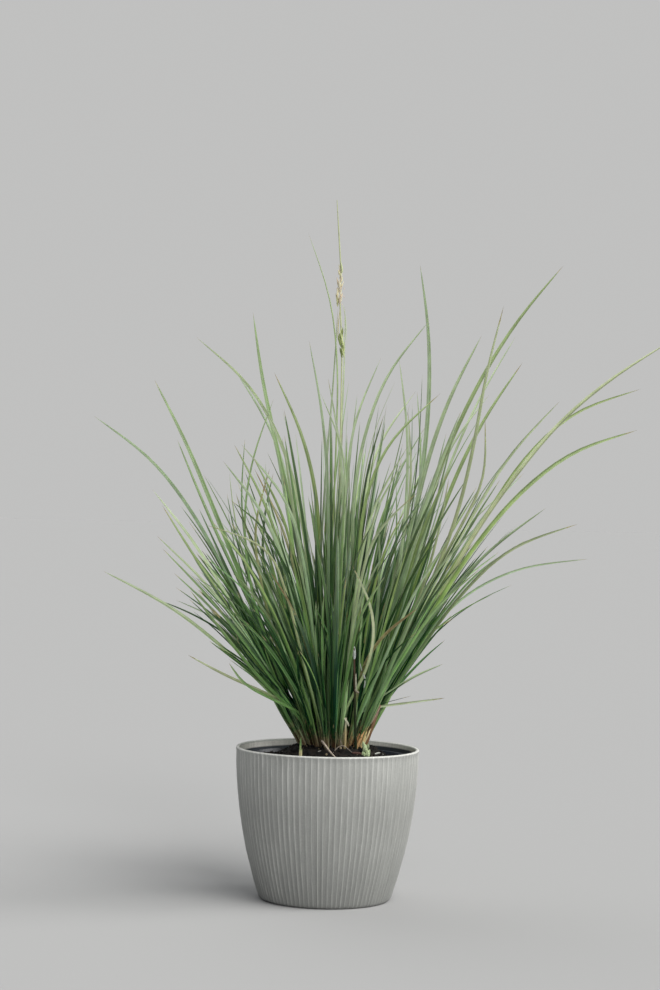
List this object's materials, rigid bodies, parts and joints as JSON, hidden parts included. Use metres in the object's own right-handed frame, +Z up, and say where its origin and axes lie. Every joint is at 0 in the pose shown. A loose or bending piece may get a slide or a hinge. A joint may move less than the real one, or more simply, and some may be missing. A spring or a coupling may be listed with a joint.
{
  "type": "potted ornamental grass clump",
  "caption": "Fan-shaped clump of narrow-leaved ornamental grass with a slim flower stalk, rooted in a black nursery pot that stands inside a finely ribbed grey cover pot.",
  "frame": {"origin": "centre of the cover pot's flat underside, on the surface that it stands on", "axes": "+Z up along the pot's axis; the picture looks along +Y, with +X to its right"},
  "size_m": [0.4384, 0.4832, 0.5338],
  "materials": {
    "pot_grey": "matte",
    "nursery_black": "satin",
    "potting_mix": "matte",
    "grass": "satin",
    "flower": "matte",
    "dry_stem": "matte"
  },
  "bodies": {
    "root": {"cover_pot": "pot_grey", "dead_stem_1": "dry_stem", "dead_stem_2": "dry_stem", "dead_stem_3": "dry_stem", "flower_stalk": "flower", "grass_shoot_01": "grass", "grass_shoot_02": "grass", "grass_shoot_03": "grass", "grass_shoot_04": "grass", "grass_shoot_05": "grass", "grass_shoot_06": "grass", "grass_shoot_07": "grass", "grass_shoot_08": "grass", "grass_shoot_09": "grass", "grass_shoot_10": "grass", "grass_shoot_11": "grass", "grass_shoot_12": "grass", "grass_shoot_13": "grass", "grass_shoot_14": "grass", "grass_shoot_15": "grass", "grass_shoot_16": "grass", "grass_shoot_17": "grass", "grass_shoot_18": "grass", "grass_shoot_19": "grass", "grass_shoot_20": "grass", "grass_shoot_21": "grass", "grass_shoot_22": "grass", "grass_shoot_23": "grass", "grass_shoot_24": "grass", "grass_shoot_25": "grass", "grass_shoot_26": "grass", "grass_shoot_27": "grass", "grass_shoot_28": "grass", "grass_shoot_29": "grass", "grass_shoot_30": "grass", "grass_shoot_31": "grass", "grass_shoot_32": "grass", "grass_shoot_33": "grass", "grass_shoot_34": "grass", "grass_shoot_35": "grass", "grass_shoot_36": "grass", "grass_shoot_37": "grass", "grass_shoot_38": "grass", "grass_shoot_39": "grass", "grass_shoot_40": "grass", "grass_shoot_41": "grass", "grass_shoot_42": "grass", "grass_shoot_43": "grass", "grass_shoot_44": "grass", "grass_shoot_45": "grass", "grass_shoot_46": "grass", "grass_shoot_47": "grass", "grass_shoot_48": "grass", "grass_shoot_49": "grass", "grass_shoot_50": "grass", "nursery_pot": "nursery_black", "potting_mix": "potting_mix", "young_shoot": "grass"}
  },
  "joints": []
}
